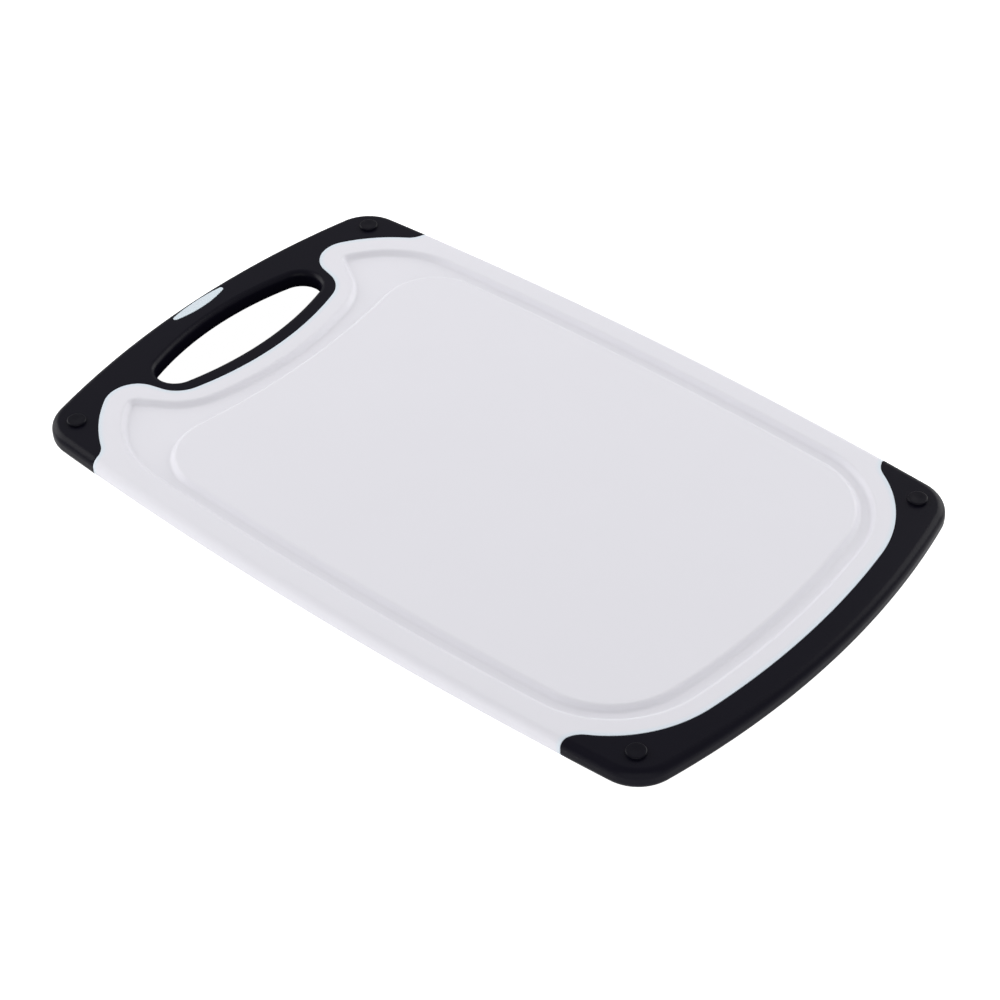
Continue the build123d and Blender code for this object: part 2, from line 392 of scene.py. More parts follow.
def group(tree, inner, *values):
    """The first output of a node group, given its inputs in order."""
    kind = tree.bl_idname.replace("Tree", "Group")
    return add(tree, kind, dict(enumerate(values)), node_tree=inner).outputs[0]


def finish_tree(tree, geometry, material, result):
    """Welds a tree's geometry, smooths it, makes it real and gives it its material."""
    for kind, sockets in (
        ("GeometryNodeMergeByDistance", {"Distance": WELD}),
        ("GeometryNodeSetShadeSmooth", {}),
        ("GeometryNodeRealizeInstances", {}),
        ("GeometryNodeSetMaterial", {"Material": material}),
    ):
        geometry = add(tree, kind, {"Geometry": geometry, **sockets}).outputs[0]
    tree.links.new(geometry, result.inputs[0])


def quarter_round_tree():
    """How far a quarter-round edge drops at some gap from the edge: its radius at none, nothing past it."""
    tree, given, result = new_tree(
        "Quarter Round", "GeometryNodeTree", {"Gap": "Float", "Radius": "Float"}, {"Drop": "Float"},
    )
    radius = given.outputs["Radius"]
    gap = clamped(tree, given.outputs["Gap"], 0.0, radius)
    run = maths(tree, "SUBTRACT", radius, gap)
    squares = [maths(tree, "MULTIPLY", side, side) for side in (radius, run)]
    rise = maths(tree, "SUBTRACT", *squares)
    height = maths(tree, "SQRT", maths(tree, "MAXIMUM", rise, 0.0))
    tree.links.new(maths(tree, "SUBTRACT", radius, height), result.inputs["Drop"])
    return tree


def sunk_tree(quarter):
    """How far a pocket with a flat floor drops at some gap inside its edge, past a rounded rim."""
    labels = ("Gap", "Depth", "Rim Radius", "Wall Draft")
    tree, given, result = new_tree(
        "Sunk Shape", "GeometryNodeTree", dict.fromkeys(labels, "Float"), {"Drop": "Float"},
    )
    gap, depth, rim, draft = [given.outputs[label] for label in labels]
    rim_drop = group(tree, quarter, maths(tree, "MULTIPLY", gap, -1.0), rim)
    step = add(tree, "ShaderNodeMapRange", {0: gap, 1: maths(tree, "MULTIPLY", draft, -1.0), 2: draft})
    wall_drop = maths(tree, "MULTIPLY", step.outputs[0], maths(tree, "SUBTRACT", depth, rim))
    tree.links.new(maths(tree, "ADD", wall_drop, rim_drop), result.inputs["Drop"])
    return tree


def dished_tree():
    """How far a channel drops at some gap inside its edge: round rim, sloping wall, round foot, flat."""
    labels = ("Gap", "Depth", "Rim Radius", "Floor Radius", "Wall Slope")
    tree, given, result = new_tree(
        "Dished Channel", "GeometryNodeTree", dict.fromkeys(labels, "Float"), {"Drop": "Float"},
    )
    gap, depth, rim, floor, slope = [given.outputs[label] for label in labels]
    sine, steepness = maths(tree, "SINE", slope), maths(tree, "TANGENT", slope)
    half = maths(tree, "TANGENT", maths(tree, "MULTIPLY", slope, 0.5))

    def arc(run, radius):
        """The rise of an arc above its lowest point at some run from it, up to the slope of the wall."""
        run = clamped(tree, run, 0.0, maths(tree, "MULTIPLY", radius, sine))
        squares = [maths(tree, "MULTIPLY", side, side) for side in (radius, run)]
        return maths(tree, "SUBTRACT", radius, maths(tree, "SQRT", maths(tree, "SUBTRACT", *squares)))

    foot = maths(tree, "DIVIDE", depth, steepness)
    rim_start = maths(tree, "MULTIPLY", maths(tree, "MULTIPLY", rim, half), -1.0)
    floor_end = maths(tree, "ADD", foot, maths(tree, "MULTIPLY", floor, half))
    wall_start = maths(tree, "ADD", rim_start, maths(tree, "MULTIPLY", rim, sine))
    wall_end = maths(tree, "SUBTRACT", floor_end, maths(tree, "MULTIPLY", floor, sine))
    on_wall = clamped(tree, gap, wall_start, wall_end)
    rim_drop = arc(maths(tree, "SUBTRACT", gap, rim_start), rim)
    wall_drop = maths(tree, "MULTIPLY", maths(tree, "SUBTRACT", on_wall, wall_start), steepness)
    floor_rise = arc(maths(tree, "SUBTRACT", floor_end, gap), floor)
    floor_drop = maths(tree, "SUBTRACT", arc(FAR, floor), floor_rise)
    drop = maths(tree, "ADD", maths(tree, "ADD", rim_drop, wall_drop), floor_drop)
    tree.links.new(drop, result.inputs["Drop"])
    return tree


# Sizes that a slab's tree takes from the settings, and all of its sizes
SLAB_SETTINGS = {
    "Edge Radius": "edge_radius",
    "Slot Rim Radius": "slot_rim_radius",
    "Groove Depth": "groove_depth",
    "Groove Rim Radius": "groove_rim_radius",
    "Groove Floor Radius": "groove_floor_radius",
    "Groove Wall Slope": "groove_wall_slope",
    "Pocket Depth": "badge_depth",
    "Pocket Rim Radius": "badge_easing",
}
SLAB_SIZES = ("Top", "Underside", "Seam Radius", "Wall Draft", *SLAB_SETTINGS)


def slab_tree():
    """Turns a flat sheet into a moulded slab, from the gaps to its edges that are stored on its points."""
    quarter = quarter_round_tree()
    tree, given, result = new_tree(
        "Moulded Slab",
        "GeometryNodeTree",
        {"Sheet": "Geometry", "Material": "Material", **dict.fromkeys(SLAB_SIZES, "Float")},
        {"Slab": "Geometry"},
    )
    value = given.outputs

    def stored(name, data_type="FLOAT"):
        return add(tree, "GeometryNodeInputNamedAttribute", {"Name": name}, data_type=data_type).outputs[0]

    edge_gap = stored("edge_gap")
    rounded = maths(
        tree, "ADD",
        group(tree, quarter, edge_gap, value["Edge Radius"]),
        group(tree, quarter, stored("slot_gap"), value["Slot Rim Radius"]),
    )
    # A seam's edge is eased square to the surface, so on the rounded side of the board it moves inwards
    seam = group(tree, quarter, stored("seam_gap"), value["Seam Radius"])
    inwards = maths(tree, "DIVIDE", edge_gap, value["Edge Radius"])
    sideways = maths(tree, "SUBTRACT", 1.0, inwards, use_clamp=True)
    upright = maths(tree, "SQRT", maths(tree, "SUBTRACT", 1.0, maths(tree, "MULTIPLY", sideways, sideways)))
    inset = add(
        tree, "ShaderNodeVectorMath",
        {0: stored("edge_in", "FLOAT_VECTOR"), "Scale": maths(tree, "MULTIPLY", seam, sideways)},
        operation="SCALE",
    ).outputs[0]
    groove = group(
        tree, dished_tree(), stored("groove_gap"), value["Groove Depth"], value["Groove Rim Radius"],
        value["Groove Floor Radius"], value["Groove Wall Slope"],
    )
    pocket = group(
        tree, sunk_tree(quarter), stored("pocket_gap"), value["Pocket Depth"], value["Pocket Rim Radius"],
        value["Wall Draft"],
    )
    both_faces = maths(tree, "ADD", rounded, maths(tree, "MULTIPLY", seam, upright))
    top_only = maths(tree, "ADD", groove, pocket)
    top_z = maths(tree, "SUBTRACT", value["Top"], maths(tree, "ADD", both_faces, top_only))
    under_z = maths(tree, "ADD", value["Underside"], both_faces)
    plan = vector_maths(tree, "ADD", add(tree, "GeometryNodeInputPosition").outputs[0], inset)

    capture = tree.nodes.new("GeometryNodeCaptureAttribute")
    tree.links.new(value["Sheet"], capture.inputs[0])
    for label, height in (("Top Spot", top_z), ("Under Spot", under_z)):
        capture.capture_items.new("VECTOR", label)
        lifted = add(tree, "ShaderNodeCombineXYZ", {"Z": height}).outputs[0]
        tree.links.new(vector_maths(tree, "ADD", plan, lifted), capture.inputs[label])
    sheet, top_spot, under_spot = [capture.outputs[k] for k in range(3)]
    upper = add(tree, "GeometryNodeSetPosition", {"Geometry": sheet, "Position": top_spot})
    lower = add(tree, "GeometryNodeSetPosition", {"Geometry": sheet, "Position": under_spot})
    lower = add(tree, "GeometryNodeFlipFaces", {0: lower.outputs[0]})
    beside = add(tree, "GeometryNodeInputMeshEdgeNeighbors").outputs[0]
    rim = add(tree, "FunctionNodeCompare", {2: beside, 3: 1}, data_type="INT", operation="EQUAL").outputs[0]
    wall = add(
        tree, "GeometryNodeExtrudeMesh",
        {"Mesh": upper.outputs[0], "Selection": rim, "Offset Scale": 0.0}, mode="EDGES",
    )
    wall_foot = add(
        tree, "GeometryNodeSetPosition",
        {"Geometry": wall.outputs["Mesh"], "Selection": wall.outputs["Top"], "Position": under_spot},
    )
    joined = tree.nodes.new("GeometryNodeJoinGeometry")
    for piece in (wall_foot, lower):
        tree.links.new(piece.outputs[0], joined.inputs[0])
    finish_tree(tree, joined.outputs[0], value["Material"], result)
    return tree


def turned_tree():
    """Turns a row of points, a half section drawn in X and Z, about the Z axis, and sets it at a spot."""
    tree, given, result = new_tree(
        "Turned Piece",
        "GeometryNodeTree",
        {"Section": "Geometry", "Material": "Material", "Divisions": "Int", "Spot": "Vector"},
        {"Piece": "Geometry"},
    )
    value = given.outputs
    count = add(tree, "GeometryNodeAttributeDomainSize", {0: value["Section"]}).outputs["Point Count"]
    rows = maths(tree, "ADD", value["Divisions"], 1)
    last = maths(tree, "SUBTRACT", count, 1)
    grid = add(
        tree, "GeometryNodeMeshGrid",
        {"Size X": last, "Size Y": 1.0, "Vertices X": count, "Vertices Y": rows},
    ).outputs[0]
    position = add(tree, "GeometryNodeInputPosition").outputs[0]
    place = add(tree, "ShaderNodeSeparateXYZ", {0: position}).outputs
    along = maths(tree, "ADD", place["X"], maths(tree, "DIVIDE", last, 2.0))
    angle = maths(tree, "MULTIPLY", maths(tree, "ADD", place["Y"], 0.5), 2 * math.pi)
    sampled = add(
        tree, "GeometryNodeSampleIndex",
        {
            "Geometry": value["Section"],
            "Value": position,
            "Index": maths(tree, "ROUND", along),
        },
        data_type="FLOAT_VECTOR",
    ).outputs[0]
    turned = add(
        tree, "ShaderNodeVectorRotate", {"Vector": sampled, "Angle": angle}, rotation_type="Z_AXIS",
    ).outputs[0]
    shaped = add(tree, "GeometryNodeSetPosition", {"Geometry": grid, "Position": turned}).outputs[0]
    spot = add(tree, "GeometryNodePoints", {"Count": 1, "Position": value["Spot"]}).outputs[0]
    placed = add(tree, "GeometryNodeInstanceOnPoints", {"Points": spot, "Instance": shaped}).outputs[0]
    real = add(tree, "GeometryNodeRealizeInstances", {"Geometry": placed}).outputs[0]
    finish_tree(tree, real, value["Material"], result)
    return tree


def tree_named(name, build):
    """The node tree of that name, built the first time that it is needed."""
    return bpy.data.node_groups.get(name) or build()


def made_plain(name, mesh, tree, values):
    """The plain mesh that a geometry tree makes of a mesh, with its closed faces turned outwards."""
    piece = bpy.data.objects.new(name, mesh)
    bpy.context.scene.collection.objects.link(piece)
    modifier = piece.modifiers.new(tree.name, "NODES")
    modifier.node_group = tree
    sockets = {item.name: item.identifier for item in tree.interface.items_tree if item.in_out == "INPUT"}
    for label, value in values.items():
        modifier[sockets[label]] = value
    freeze(piece)
    shell = bmesh.new()
    shell.from_mesh(piece.data)
    bmesh.ops.recalc_face_normals(shell, faces=shell.faces)
    shell.to_mesh(piece.data)
    shell.free()
    piece.data.set_sharp_from_angle(angle=SHARP_ANGLE)
    weighted = piece.modifiers.new("Weighted Normal", "WEIGHTED_NORMAL")
    weighted.keep_sharp = True
    weighted.weight = 100
    freeze(piece)
    return piece


def freeze(piece):
    """Replaces an object's mesh by what its modifiers make of it, and removes them."""
    evaluated = piece.evaluated_get(bpy.context.evaluated_depsgraph_get())
    mesh = bpy.data.meshes.new_from_object(evaluated)
    piece.modifiers.clear()
    old, piece.data = piece.data, mesh
    mesh.name = piece.name
    bpy.data.meshes.remove(old)


def put_in(piece, nodes):
    """Sets a finished piece in the frame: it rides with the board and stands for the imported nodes."""
    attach(piece, "root")
    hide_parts(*nodes)


# ---------------------------------------------------------------- finishes

MOTTLE_SIZE = 0.03
ROUGHNESS_SPREAD = 0.06

# For each material: its darker shade as a share of its colour, its roughness, the size and the height of its
# grain in metres, and its specular level
TEXTURES = {
    "white polypropylene": dict(darker=0.985, roughness=0.46, grain=0.0011, relief=0.00002, specular=0.35),
    "black soft plastic": dict(darker=0.8, roughness=0.33, grain=0.0007, relief=0.00003, specular=0.09),
    "pale badge plastic": dict(darker=0.97, roughness=0.4, grain=0.0009, relief=0.00001, specular=0.3),
    "black stud rubber": dict(darker=0.8, roughness=0.33, grain=0.0005, relief=0.00002, specular=0.10),
}
CORE_SEAM_SHADE_WIDTH = 0.003  # how far from a seam the white plastic carries a painted bluish shade
# how far from its seam the badge plate carries a painted bluish shade
BADGE_SEAM_SHADE_WIDTH = 0.0026


def grain_tree():
    """Fine mould texture, shared by every plastic here: a height and a tone, about their middle values."""
    tree, given, result = new_tree(
        "Mould Grain",
        "ShaderNodeTree",
        {"Vector": "Vector", "Grain Size": "Float", "Mottle Size": "Float"},
        {"Height": "Float", "Mottle": "Float"},
    )
    value = given.outputs
    for size, label, detail in (("Grain Size", "Height", 3.0), ("Mottle Size", "Mottle", 2.0)):
        scale = maths(tree, "DIVIDE", 1.0, value[size])
        sockets = {"Vector": value["Vector"], "Scale": scale, "Detail": detail}
        noise = add(tree, "ShaderNodeTexNoise", sockets).outputs["Fac"]
        tree.links.new(noise, result.inputs[label])
    return tree


def seam_shade_tree():
    """A mask for painted shade that is 1 at a seam and fades out over a width, from the gap stored on the
    mesh.
    """
    tree, given, result = new_tree("Seam Shade", "ShaderNodeTree", {"Width": "Float"}, {"Mask": "Float"})
    gap = add(tree, "ShaderNodeAttribute", attribute_name="seam_gap").outputs["Fac"]
    fade = add(
        tree, "ShaderNodeMapRange", {0: gap, 1: 0.0, 2: given.outputs["Width"], 3: 1.0, 4: 0.0},
        interpolation_type="SMOOTHSTEP",
    )
    tree.links.new(fade.outputs[0], result.inputs["Mask"])
    return tree


def plastic(name, tint, seam_shade_tint=None, seam_shade_width=0.0):
    """A moulded plastic or rubber: two close shades in a soft mottle, a fine grain and an uneven gloss, and,
    where a seam tint is given, a painted bluish shade along its seams.
    """
    look = TEXTURES[name]
    material = bpy.data.materials.new(name)
    material.use_nodes = True
    tree = material.node_tree
    tree.nodes.clear()
    output = tree.nodes.new("ShaderNodeOutputMaterial")
    spot = add(tree, "ShaderNodeTexCoord").outputs["Object"]
    texture = add(
        tree, "ShaderNodeGroup", {"Vector": spot, "Grain Size": look["grain"], "Mottle Size": MOTTLE_SIZE},
        node_tree=tree_named("Mould Grain", grain_tree),
    ).outputs
    darker = [look["darker"] * channel for channel in tint]
    base = blend(tree, texture["Mottle"], (*darker, 1), (*tint, 1))
    # Painted shade: near a seam the colour is mixed towards a bluish tint, standing in for the light on the
    # eased seam edge
    if seam_shade_tint:
        mask = group(tree, tree_named("Seam Shade", seam_shade_tree), seam_shade_width)
        base = blend(tree, mask, base, (*seam_shade_tint, 1))
    smoothest, roughest = look["roughness"] - ROUGHNESS_SPREAD, look["roughness"] + ROUGHNESS_SPREAD
    gloss = add(tree, "ShaderNodeMapRange", {0: texture["Height"], 3: smoothest, 4: roughest}).outputs[0]
    sockets = {"Height": texture["Height"], "Distance": look["relief"], "Strength": 1.0}
    bump = add(tree, "ShaderNodeBump", sockets).outputs[0]
    sockets = {"Base Color": base, "Roughness": gloss, "Normal": bump}
    shader = add(tree, "ShaderNodeBsdfPrincipled", {**sockets, "Specular IOR Level": look["specular"]})
    tree.links.new(shader.outputs[0], output.inputs["Surface"])
    return material


def blend(tree, mask, first, second):
    """The colour between two others that a mask picks."""
    return add(tree, "ShaderNodeMix", {0: mask, 6: first, 7: second}, data_type="RGBA").outputs[2]


# ---------------------------------------------------------------- settings that a user may change


def length(name, description, default):
    """A length that shows in scene units."""
    return FloatProperty(name=name, description=description, default=default, unit="LENGTH", precision=5)


def angle(name, description, degrees):
    """An angle, given in degrees."""
    return FloatProperty(
        name=name, description=description, default=math.radians(degrees), subtype="ANGLE", unit="ROTATION",
    )


def colour(name, description, default):
    """A colour swatch."""
    return FloatVectorProperty(
        name=name, description=description, default=default, subtype="COLOR", min=0, max=1,
    )


def power(name, description, default):
    """The power of a light, in watts."""
    return FloatProperty(name=name, description=description, default=default, unit="POWER")


def strength(name, description, default):
    """The brightness of a surface that glows."""
    return FloatProperty(name=name, description=description, default=default, min=0)


class BoardSizes(bpy.types.PropertyGroup):
    """Roundings and depths of the moulded pieces."""

    edge_radius: length("Edge Rounding", "Rounding of the outer edge on both faces", 0.0038)
    slot_rim_radius: length("Slot Rim Rounding", "Rounding of the rim of the hand slot", 0.0028)
    groove_depth: length("Groove Depth", "Depth of the juice groove", 0.0024)
    groove_rim_radius: length("Groove Rim Rounding", "Rounding where the groove meets the face", 0.002)
    groove_floor_radius: length("Groove Foot Rounding", "Rounding between its wall and its floor", 0.002)
    groove_wall_slope: angle("Groove Wall Slope", "Slope of the groove's walls from flat", 50.0)
    grip_seam_radius: length("Grip Seam Easing", "Easing of a grip's edge where it meets the core", 0.00045)
    core_seam_radius: length("Core Seam Easing", "Easing of the core's edge where it meets a grip", 0.00015)
    badge_depth: length("Badge Depth", "Depth of the pocket that the badge sits in", 0.0016)
    badge_easing: length("Badge Easing", "Easing of the badge's edge and of its pocket's rim", 0.00025)
    badge_clearance: length("Badge Clearance", "Gap round the badge in its pocket", 0.0001)
    stud_easing: length("Stud Easing", "Rounding of the edge of a stud's heads", 0.0005)
    stud_dish: length("Stud Dish", "How far the middle of a stud's face is sunk", 0.00012)


class BoardFinish(bpy.types.PropertyGroup):
    """Colours of the materials, and the bluish tints of painted shade along their seams."""

    core_colour: colour("Core", "White plastic", (0.807, 0.800, 0.851))
    # Painted shade: the bluish tint laid on the white plastic along its seams with the dark grips
    core_seam_shade_colour: colour("Core by a Seam", "White plastic next to a dark grip", (0.72, 0.79, 0.86))
    grip_colour: colour("Grip", "Black soft plastic", (0.0052, 0.0047, 0.0100))
    badge_colour: colour("Badge", "Pale badge plate", (0.715, 0.735, 0.80))
    # Painted shade: the bluish tint laid on the badge plate along its pocket's edge
    badge_seam_shade_colour: colour("Badge by its Seam", "Badge plate by its pocket's edge", (0.70, 0.79, 0.85))
    stud_colour: colour("Stud", "Black rubber", (0.0046, 0.0043, 0.0086))


class BoardStage(bpy.types.PropertyGroup):
    """Camera, lights and floor."""

    distance: length("Camera Distance", "From the camera to the spot it looks at", 1.1821)
    azimuth: angle("Azimuth", "Camera's bearing from -Y towards +X", 42.32)
    elevation: angle("Elevation", "Camera's height above the floor, as an angle", 41.151)
    roll: angle("Roll", "Camera's turn about its line of sight", -2.15)
    lens: FloatProperty(
        name="Lens", description="Focal length on a 36 mm sensor", default=98.246, subtype="DISTANCE_CAMERA",
    )
    left_power: power("Left Light", "Power of the left light", 19.0)
    right_power: power("Right Light", "Power of the right light", 18.0)
    front_power: power("Front Light", "Power of the low front light", 16.0)
    back_power: power("Back Light", "Power of the weak light behind", 0.8)
    surroundings: strength("Surroundings", "Brightness of the plain surroundings", 0.45)
    floor_glow: strength("Floor Glow", "Brightness that the pale floor adds to its own picture only", 1.0)
    floor_bounce: strength("Floor Bounce", "Light that the pale floor throws up at the board", 0.4)


# ---------------------------------------------------------------- pieces

# Windows of the plan, in millimetres: the least and the greatest X, and the greatest distance from the axis
EVERYWHERE = (-400, 400, 400)
HANDLE_WINDOW = (-400, -118, 118)
END_WINDOW = (118, 400, 118)
MIDDLE_WINDOW = (-150, 150, 400)
SEAM_WINDOW = (-200, 200, 118)
BADGE_WINDOW = (-190, -170, 30)

# How many steps each rounding is divided into
EDGE_STEPS = 9
SLOT_RIM_STEPS = 8
GRIP_SEAM_STEPS = 5
CORE_SEAM_STEPS = 3
POCKET_RIM_STEPS = 5
BADGE_EASING_STEPS = 4
GROOVE_STEPS = 6
DISH_STEPS = 8
STUD_EASING_STEPS = 6

SHADE_RINGS = [1.5, 4.0]  # further rings round a seam, so that its shade fades smoothly
WALL_DRAFT = 0.01  # half the width, in plan, of the badge pocket's wall
STUD_SHANK = 2.6
STUD_HEAD = 4.3
STUD_DIVISIONS = 72
SHANK_HOLE = 2.62
SHANK_HOLE_DIVISIONS = 32


def mm(size):
    """Metres to the millimetres that the plan is drawn in."""
    return size / MM


def pocket_rings(line, rim_radius):
    """The rings that divide a flat-floored pocket's rim and wall."""
    steps = [-gap for gap in quarter_steps(rim_radius, POCKET_RIM_STEPS)[1:]]
    return [ring(line, gap, EVERYWHERE) for gap in steps + [-WALL_DRAFT, WALL_DRAFT]]


def groove_rings(line, sizes):
    """The rings that divide a sloping channel's rim, wall and floor, from an edge of the channel."""
    depth, rim, floor = mm(sizes.groove_depth), mm(sizes.groove_rim_radius), mm(sizes.groove_floor_radius)
    slope = sizes.groove_wall_slope
    half = math.tan(slope / 2)
    turns = [slope * k / GROOVE_STEPS for k in range(GROOVE_STEPS + 1)]
    steps = [rim * (math.sin(turn) - half) for turn in turns]
    steps += [depth / math.tan(slope) + floor * (half - math.sin(turn)) for turn in turns]
    return [ring(line, gap, EVERYWHERE) for gap in steps]


def slab_piece(name, rings, extent, measures, material, values):
    """A piece cut from the slab: its sheet, the gaps to its edges, and the tree that moulds it."""
    mesh, plan = flat_sheet(name, rings, extent)
    edge_gap, edge_in = gaps(plan, OUTLINE)
    store_gap(mesh, "edge_gap", edge_gap)
    store_direction(mesh, "edge_in", edge_in)
    absences = {"slot_gap": FAR, "seam_gap": FAR, "groove_gap": -FAR, "pocket_gap": -FAR}
    for label, absent in absences.items():
        measure = measures.get(label)
        store_gap(mesh, label, measure(plan) if measure else absent / MM)
    tree = tree_named("Moulded Slab", slab_tree)
    return made_plain(name, mesh, tree, {"Material": material, **values})


def slab_values(sizes, seam_radius):
    """The sizes that every piece of the slab shares, and its own seam easing."""
    values = {label: getattr(sizes, setting) for label, setting in SLAB_SETTINGS.items()}
    values.update({"Top": CORE_HIGH.z, "Underside": CORE_LOW.z})
    values.update({"Seam Radius": seam_radius, "Wall Draft": WALL_DRAFT * MM})
    return values


def outside_shanks(spots):
    """A measure of the plan: how far a spot is outside the holes that the studs' shanks fill."""
    folded = abs(spots.real) + 1j * abs(spots.imag)
    return abs(folded - complex(*STUD_SPOT)) - SHANK_HOLE


def shank_rings(side):
    """Two circles where the shanks of the studs at one end pass through the grip."""
    turns = np.exp(2j * np.pi * np.arange(SHANK_HOLE_DIVISIONS) / SHANK_HOLE_DIVISIONS)
    rings = []
    for across in (1, -1):
        centre = complex(side * STUD_SPOT[0], across * STUD_SPOT[1])
        rings.append(ring((centre + SHANK_HOLE * turns, -turns), 0, EVERYWHERE))
    return rings


class BOARD_OT_mould_core(bpy.types.Operator):
    """Mould the white core, with its juice groove, up to its seams with the two grips"""

    bl_idname = "board.mould_core"
    bl_label = "Mould Core"

    def execute(self, context):
        sizes, finish = context.scene.board_sizes, context.scene.board_finish
        edge, seam = mm(sizes.edge_radius), mm(sizes.core_seam_radius)
        rings = [ring(OUTLINE, gap, MIDDLE_WINDOW) for gap in quarter_steps(edge, EDGE_STEPS)]
        seam_steps = quarter_steps(seam, CORE_SEAM_STEPS) + SHADE_RINGS
        for zone in (HANDLE_ZONE, END_ZONE):
            rings += [ring(zone, -gap, SEAM_WINDOW) for gap in seam_steps]
        rings += groove_rings(GROOVE_OUTER, sizes)
        outwards_from_deck = (DECK[0], -DECK[1])
        rings += groove_rings(outwards_from_deck, sizes)
        seam_gap = least(outside(HANDLE_ZONE), outside(END_ZONE))
        groove_gap = least(inside(GROOVE_OUTER), outside(DECK))
        # The white plastic carries a painted bluish shade along its seams with the grips
        white = plastic(
            "white polypropylene", finish.core_colour, tuple(finish.core_seam_shade_colour), CORE_SEAM_SHADE_WIDTH,
        )
        piece = slab_piece(
            "board_core_moulding", rings, least(inside(OUTLINE), seam_gap),
            {"seam_gap": seam_gap, "groove_gap": groove_gap},
            white, slab_values(sizes, sizes.core_seam_radius),
        )
        put_in(piece, ["board_core"])
        return {"FINISHED"}


def grip_material(context):
    """The black soft plastic of both grips."""
    name = "black soft plastic"
    return bpy.data.materials.get(name) or plastic(name, context.scene.board_finish.grip_colour)


class BOARD_OT_mould_handle(bpy.types.Operator):
    """Mould the handle grip, with the hand slot and the pocket for the badge"""

    bl_idname = "board.mould_handle"
    bl_label = "Mould Handle Grip"

    def execute(self, context):
        sizes = context.scene.board_sizes
        edge, rim, seam = mm(sizes.edge_radius), mm(sizes.slot_rim_radius), mm(sizes.grip_seam_radius)
        rings = [ring(OUTLINE, gap, HANDLE_WINDOW) for gap in quarter_steps(edge, EDGE_STEPS)]
        rings += [ring(SLOT, -gap, EVERYWHERE) for gap in quarter_steps(rim, SLOT_RIM_STEPS)]
        rings += [ring(HANDLE_ZONE, gap, SEAM_WINDOW) for gap in quarter_steps(seam, GRIP_SEAM_STEPS)]
        rings += pocket_rings(BADGE, mm(sizes.badge_easing))
        rings += shank_rings(-1)
        slot_gap, seam_gap = outside(SLOT), inside(HANDLE_ZONE)
        piece = slab_piece(
            "handle_grip_moulding", rings, least(inside(OUTLINE), slot_gap, seam_gap, outside_shanks),
            {"slot_gap": slot_gap, "seam_gap": seam_gap, "pocket_gap": inside(BADGE)},
            grip_material(context), slab_values(sizes, sizes.grip_seam_radius),
        )
        put_in(piece, ["handle_grip"])
        return {"FINISHED"}


class BOARD_OT_mould_end(bpy.types.Operator):
    """Mould the grip over the plain end"""

    bl_idname = "board.mould_end"
    bl_label = "Mould End Grip"

    def execute(self, context):
        sizes = context.scene.board_sizes
        edge, seam = mm(sizes.edge_radius), mm(sizes.grip_seam_radius)
        rings = [ring(OUTLINE, gap, END_WINDOW) for gap in quarter_steps(edge, EDGE_STEPS)]
        rings += [ring(END_ZONE, gap, SEAM_WINDOW) for gap in quarter_steps(seam, GRIP_SEAM_STEPS)]
        rings += shank_rings(1)
        seam_gap = inside(END_ZONE)
        piece = slab_piece(
            "end_grip_moulding", rings, least(inside(OUTLINE), seam_gap, outside_shanks),
            {"seam_gap": seam_gap}, grip_material(context), slab_values(sizes, sizes.grip_seam_radius),
        )
        put_in(piece, ["end_grip"])
        return {"FINISHED"}


class BOARD_OT_set_badge(bpy.types.Operator):
    """Set the blank badge plate in its pocket in the handle"""

    bl_idname = "board.set_badge"
    bl_label = "Set Badge Plate"

    def execute(self, context):
        sizes, finish = context.scene.board_sizes, context.scene.board_finish
        edge, easing, clearance = mm(sizes.edge_radius), mm(sizes.badge_easing), mm(sizes.badge_clearance)
        easing_steps = quarter_steps(easing, BADGE_EASING_STEPS)
        rings = [ring(OUTLINE, gap, BADGE_WINDOW) for gap in quarter_steps(edge, EDGE_STEPS)]
        rings += [ring(BADGE, clearance + gap, EVERYWHERE) for gap in easing_steps]

        def seam_gap(spots):
            return inside(BADGE)(spots) - clearance

        # The badge plate carries a painted bluish shade along its seam
        pale = plastic(
            "pale badge plastic", finish.badge_colour, tuple(finish.badge_seam_shade_colour), BADGE_SEAM_SHADE_WIDTH,
        )
        values = slab_values(sizes, sizes.badge_easing)
        values["Underside"] = BADGE_LOW.z
        piece = slab_piece("badge_plate_finished", rings, seam_gap, {"seam_gap": seam_gap}, pale, values)
        put_in(piece, ["badge_plate"])
        return {"FINISHED"}


def stud_section(low, high, sizes):
    """Half section of a stud in metres: a dished, round-edged head on each face, and a shank between."""
    head, shank, easing = STUD_HEAD * MM, STUD_SHANK * MM, sizes.stud_easing
    dish_radius = head - 2 * easing
    section = []
    for k in range(DISH_STEPS + 1):
        sunk = sizes.stud_dish * (1 + math.cos(math.pi * k / DISH_STEPS)) / 2
        section.append((dish_radius * k / DISH_STEPS, high - sunk))
    for k in range(STUD_EASING_STEPS + 1):
        turn = math.pi / 2 * k / STUD_EASING_STEPS
        section.append((head - easing + easing * math.sin(turn), high - easing + easing * math.cos(turn)))
    section += [(head, CORE_HIGH.z), (shank, CORE_HIGH.z)]
    middle = (low + high) / 2
    return section + [(radius, 2 * middle - height) for radius, height in reversed(section)]


